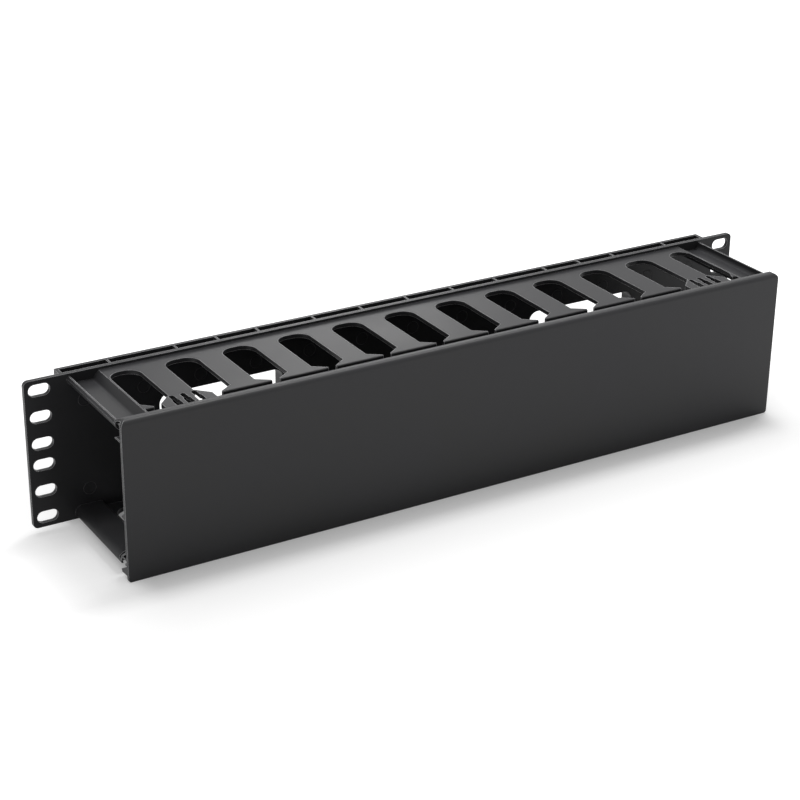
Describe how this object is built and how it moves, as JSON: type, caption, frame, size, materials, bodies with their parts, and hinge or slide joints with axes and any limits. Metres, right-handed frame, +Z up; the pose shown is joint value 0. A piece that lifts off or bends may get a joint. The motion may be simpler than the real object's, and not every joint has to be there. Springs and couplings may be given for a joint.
{
  "type": "horizontal cable manager",
  "caption": "Black plastic rack panel with a slotted cable duct on its front, cable ports through it and a full-width hinged cover.",
  "frame": {"origin": "middle of the rack hole pattern, on the rear face of the ears", "axes": "+X to the right across the rack, +Y to the rear through the rack rails, +Z up"},
  "size_m": [0.4826, 0.0843, 0.0938],
  "materials": {
    "duct_plastic": "black ABS, fine satin grain",
    "cover_plastic": "black ABS, fine satin grain"
  },
  "bodies": {
    "base": {"duct_base": "duct_plastic"},
    "cover": {"front_cover": "cover_plastic"}
  },
  "joints": [
    {"name": "cover_hinge", "type": "hinge", "parent": "base", "child": "cover", "pos_m": [0, -0.0708, -0.0379], "axis": [1, 0, 0], "range_deg": [0, 80]}
  ]
}
